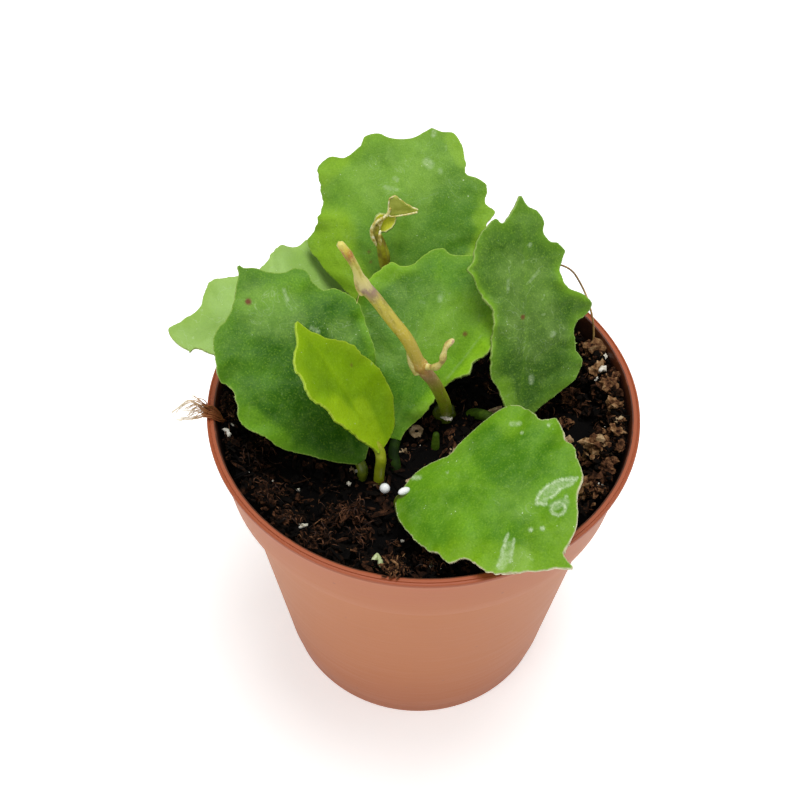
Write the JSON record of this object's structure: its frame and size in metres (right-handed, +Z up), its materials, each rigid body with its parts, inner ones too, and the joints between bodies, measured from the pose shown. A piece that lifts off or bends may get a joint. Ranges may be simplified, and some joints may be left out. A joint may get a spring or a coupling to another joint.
{
  "type": "potted hoya plant",
  "caption": "Young hoya with thick wavy-edged leaves and a bare trailing stem, growing in a terracotta-coloured plastic nursery pot filled with potting mix.",
  "frame": {"origin": "centre of the pot's flat underside", "axes": "+Z up the pot's axis, -Y towards the front of the picture, +X to its right"},
  "size_m": [0.0993, 0.1008, 0.1245],
  "materials": {
    "pot": "satin injection-moulded polypropylene",
    "potting_mix": "moist peat, bark and coir",
    "leaf_green": "waxy fleshy leaf with a pale bloom",
    "leaf_pale": "matt pale fleshy leaf",
    "leaf_young": "semi-gloss young leaf",
    "stem": "matt woody stem",
    "stem_green": "matt green stem",
    "coir": "dry coconut fibre"
  },
  "bodies": {
    "root": {"pot": "pot", "potting_mix": "potting_mix", "leaf_back": "leaf_green", "leaf_back_left": "leaf_pale", "leaf_front_left": "leaf_green", "leaf_young": "leaf_young", "leaf_middle": "leaf_green", "leaf_right": "leaf_green", "leaf_front_right": "leaf_green", "stem_long": "stem", "shoot_back": "stem", "stem_stub": "stem_green", "stem_bud": "stem_green", "coir_tuft": "coir", "coir_strand": "coir"}
  },
  "joints": []
}
